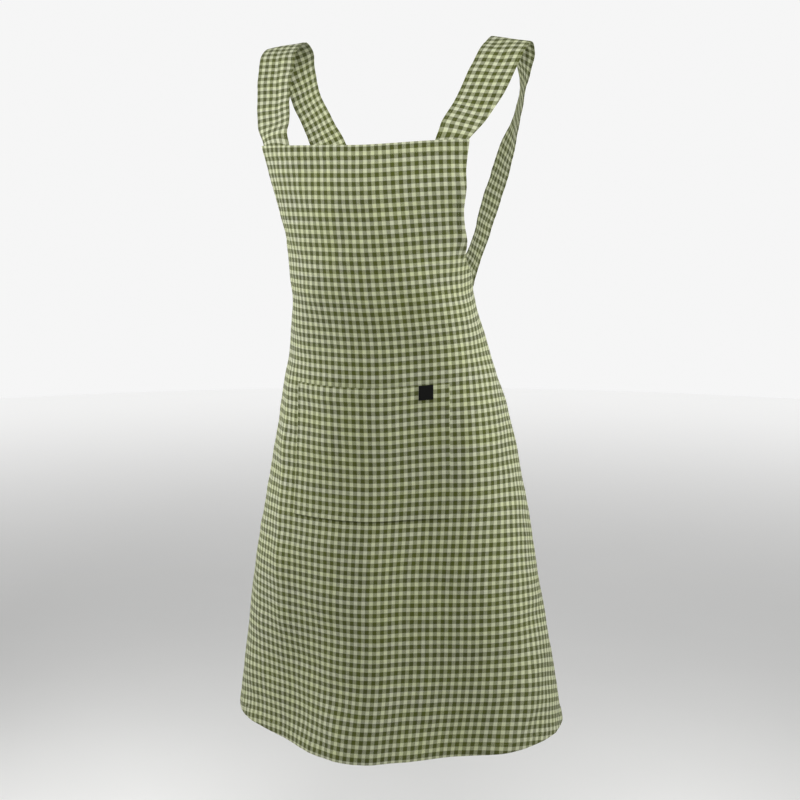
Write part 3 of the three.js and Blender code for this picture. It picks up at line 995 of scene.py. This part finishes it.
def pocket_lift(across, z):
    """Height of the pocket out of the body's plain form."""
    s = np.clip((across - POCKET_LEFT) / (POCKET_RIGHT - POCKET_LEFT), 0, 1)
    t = (z - POCKET_BOTTOM) / (POCKET_TOP - POCKET_BOTTOM)
    full = np.sin(math.pi * s) ** 2 * smooth(0, POCKET_FULL_FROM, t)
    gape = POCKET_GAPE * np.sin(math.pi * s) * smooth(POCKET_GAPES_FROM, 1, t)
    return relief(across, z) + POCKET_STANDS + POCKET_BULGE * full + gape


def make_pocket():
    heights = graded(POCKET_TOP, POCKET_BOTTOM, POCKET_ROWS, EDGE_STEPS)
    columns = graded(POCKET_LEFT, POCKET_RIGHT, POCKET_COLUMNS, SEAM_STEPS)
    across = np.tile(columns, (len(heights), 1))
    z = heights[:, None]
    seam = np.minimum(np.minimum(across - POCKET_LEFT, POCKET_RIGHT - across), z - POCKET_BOTTOM)
    top = np.broadcast_to(POCKET_TOP - z, seam.shape)
    free = np.minimum(seam, top)
    lift = pocket_lift(across, z) + pucker(top, across)
    middle = cloth_grid(across, heights, lift)
    fold = np.maximum(turned(top, POCKET_HEM), turned(seam, POCKET_TURN))
    drawn = np.maximum(groove(seam, POCKET_SEAM - STITCH_INSET), groove(top, POCKET_HEM - STITCH_INSET))
    outer = (CLOTH / 2 + POCKET_HEM_OUTWARD * fold) * rim(free) - drawn
    inner = (CLOTH / 2 + fold) * rim(free) - GROOVE_INSIDE * drawn
    place = np.stack([woven_place(columns, height) for height in heights])
    place[:, :, 1] += POCKET_ROW_SHIFT * (z - POCKET_BOTTOM) / (POCKET_TOP - POCKET_BOTTOM)
    return make_sheet("apron_pocket", middle, outer, inner, place, pocket_linen), heights, columns


def pocket_stitch_lines(sheet, heights, columns):
    inset = POCKET_SEAM - STITCH_INSET

    def line(places):
        across = np.array([place[0] for place in places], float)
        z = np.array([place[1] for place in places], float)
        run = np.concatenate([[0], np.cumsum(np.hypot(np.diff(across), np.diff(z)))])
        at = np.linspace(0, run[-1], max(STITCH_LINE_LEAST, int(run[-1] / STITCH_LINE_STEP)))
        row = np.interp(-np.interp(at, run, z), -heights, np.arange(len(heights)))
        column = np.interp(np.interp(at, run, across), columns, np.arange(len(columns)))
        return grid_line(sheet.outer, sheet.normals, row, column)

    left = POCKET_LEFT + inset
    right = POCKET_RIGHT - inset
    top = POCKET_TOP - inset
    bottom = POCKET_BOTTOM + inset
    hem = POCKET_TOP - POCKET_HEM + STITCH_INSET
    lines = [line([(left, top), (left, bottom), (right, bottom), (right, top)])]
    lines.append(line([(left, hem), (right, hem)]))
    for corner, way in ((left, 1), (right, -1)):
        inward = corner + way * POCKET_TACK
        lines.append(line([(corner, top), (inward, top), (corner, top - POCKET_TACK), (corner, top)]))
    return lines


def make_label():
    heights = graded(LABEL_TOP, LABEL_BOTTOM, LABEL_STEPS, SEAM_STEPS)
    columns = graded(LABEL_LEFT, LABEL_RIGHT, LABEL_STEPS, SEAM_STEPS)
    across = np.tile(columns, (len(heights), 1))
    z = heights[:, None]
    side = np.minimum(across - LABEL_LEFT, LABEL_RIGHT - across)
    edge = np.minimum(side, np.minimum(LABEL_TOP - z, z - LABEL_BOTTOM))
    lift = pocket_lift(across, z) + LABEL_STANDS + LABEL_SWELL * smooth(0, LABEL_SWELL_IN, edge)
    middle = cloth_grid(across, heights, lift)
    thick = LABEL_CLOTH / 2 * rim(edge) - GROOVE_LABEL * groove(edge, LABEL_SEAM)
    place = np.stack(np.broadcast_arrays(across, -z), axis=-1)
    return make_sheet("apron_label", middle, thick, thick, place, label_tape), heights, columns


def label_stitch_lines(sheet, heights, columns):
    rows = np.arange(len(heights), dtype=float)
    steps = np.arange(len(columns), dtype=float)
    first = np.interp(-(LABEL_TOP - LABEL_SEAM), -heights, rows)
    last = np.interp(-(LABEL_BOTTOM + LABEL_SEAM), -heights, rows)
    left = np.interp(LABEL_LEFT + LABEL_SEAM, columns, steps)
    right = np.interp(LABEL_RIGHT - LABEL_SEAM, columns, steps)
    down = np.linspace(first, last, LABEL_LINE_PLACES)
    wide = np.linspace(left, right, LABEL_LINE_PLACES)
    lines = []
    for column in (left, right):
        lines.append(grid_line(sheet.outer, sheet.normals, down, np.full(LABEL_LINE_PLACES, column)))
    for row in (first, last):
        lines.append(grid_line(sheet.outer, sheet.normals, np.full(LABEL_LINE_PLACES, row), wide))
    return lines


body = make_body()
body_stitches = make_stitches("body_stitches", body_stitch_lines(body), olive_thread)
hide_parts("body")

for strap in STRAPS:
    ribbon, spread, at = make_strap(f"apron_strap_{strap.name}", strap)
    stitches = make_stitches(
        f"strap_{strap.name}_stitches", strap_stitch_lines(ribbon, spread, at), olive_thread)
    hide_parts(f"strap_{strap.name}")

pocket, pocket_heights, pocket_columns = make_pocket()
pocket_stitches = make_stitches(
    "pocket_stitches", pocket_stitch_lines(pocket, pocket_heights, pocket_columns), dark_olive_thread)
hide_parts("pocket")

label, label_heights, label_columns = make_label()
label_stitches = make_stitches(
    "label_stitches", label_stitch_lines(label, label_heights, label_columns), black_thread)
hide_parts("label")


# Floor, light and camera

FLOOR_HEIGHT = -1.42
IMAGE_SIZE = 800
SENSOR_WIDTH = 36
FOCAL_PIXELS = 1450
AXIS_PIXEL = 395.5
CAMERA_TURN = 21
CAMERA_TILT = 9.2
CAMERA_DISTANCE = 2.14
CAMERA_HEIGHT = -0.174

# Soft lights: bearing from the front in degrees, then places and sizes in metres, and power in watts
SoftBox = namedtuple("SoftBox", "name bearing distance height aim width tall power")
SOFT_BOXES = [
    SoftBox("soft_box_left", -82, 1.25, -0.10, -0.30, 0.5, 0.8, 16),
    SoftBox("soft_box_right", 110, 1.25, -0.05, -0.25, 0.5, 0.8, 13),
    SoftBox("soft_box_top", 20, 1.05, 0.55, -0.15, 0.7, 0.4, 14),
]


def make_floor():
    turn = np.arange(FLOOR_SIDES) * 2 * math.pi / FLOOR_SIDES
    mesh = bpy.data.meshes.new("studio_floor")
    ring_points = [(FLOOR_RADIUS * math.cos(a), FLOOR_RADIUS * math.sin(a), 0) for a in turn]
    mesh.from_pydata(ring_points, [], [list(range(FLOOR_SIDES))])
    mesh.materials.append(studio_floor("studio_floor"))
    floor = bpy.data.objects.new("studio_floor", mesh)
    floor.location = (0, 0, FLOOR_HEIGHT)
    bpy.context.scene.collection.objects.link(floor)


def make_soft_box(box):
    data = bpy.data.lights.new(box.name, "AREA")
    data.shape = "RECTANGLE"
    data.size = box.width
    data.size_y = box.tall
    data.energy = box.power
    light = bpy.data.objects.new(box.name, data)
    angle = math.radians(box.bearing)
    light.location = (box.distance * math.sin(angle), -box.distance * math.cos(angle), box.height)
    tilt = math.atan2(box.height - box.aim, box.distance)
    light.rotation_euler = (math.pi / 2 - tilt, 0, angle)
    light.visible_camera = False
    bpy.context.scene.collection.objects.link(light)


def make_world():
    """White round about, dimmer overhead and in front."""
    world = bpy.data.worlds.new("studio")
    world.use_nodes = True
    tree = world.node_tree
    background = tree.nodes["Background"]
    background.inputs["Color"].default_value = (1, 1, 1, 1)
    place = tree.nodes.new("ShaderNodeTexCoord")
    parts = tree.nodes.new("ShaderNodeSeparateXYZ")
    fade = tree.nodes.new("ShaderNodeMapRange")
    fade.interpolation_type = "SMOOTHSTEP"
    for value, socket in zip((*OVERHEAD_FADES, WORLD_ROUND, WORLD_OVERHEAD), fade.inputs[1:5]):
        socket.default_value = value
    tree.links.new(place.outputs["Generated"], parts.inputs[0])
    tree.links.new(parts.outputs[2], fade.inputs[0])
    front = tree.nodes.new("ShaderNodeMapRange")
    front.interpolation_type = "SMOOTHSTEP"
    for value, socket in zip((*FRONT_DIMS, WORLD_FRONT, 1), front.inputs[1:5]):
        socket.default_value = value
    tree.links.new(parts.outputs[1], front.inputs[0])
    strength = tree.nodes.new("ShaderNodeMath")
    strength.operation = "MULTIPLY"
    tree.links.new(fade.outputs[0], strength.inputs[0])
    tree.links.new(front.outputs[0], strength.inputs[1])
    tree.links.new(strength.outputs[0], background.inputs["Strength"])
    bpy.context.scene.world = world


def make_camera():
    data = bpy.data.cameras.new("camera")
    data.sensor_width = SENSOR_WIDTH
    data.lens = SENSOR_WIDTH * FOCAL_PIXELS / IMAGE_SIZE
    data.shift_x = 0.5 - AXIS_PIXEL / IMAGE_SIZE
    camera = bpy.data.objects.new("camera", data)
    turn = math.radians(CAMERA_TURN)
    camera.location = (CAMERA_DISTANCE * math.sin(turn), -CAMERA_DISTANCE * math.cos(turn), CAMERA_HEIGHT)
    camera.rotation_euler = (math.radians(90 - CAMERA_TILT), 0, turn)
    bpy.context.scene.collection.objects.link(camera)
    bpy.context.scene.camera = camera


make_floor()
make_world()
for box in SOFT_BOXES:
    make_soft_box(box)
make_camera()
bpy.context.scene.view_settings.view_transform = "Standard"
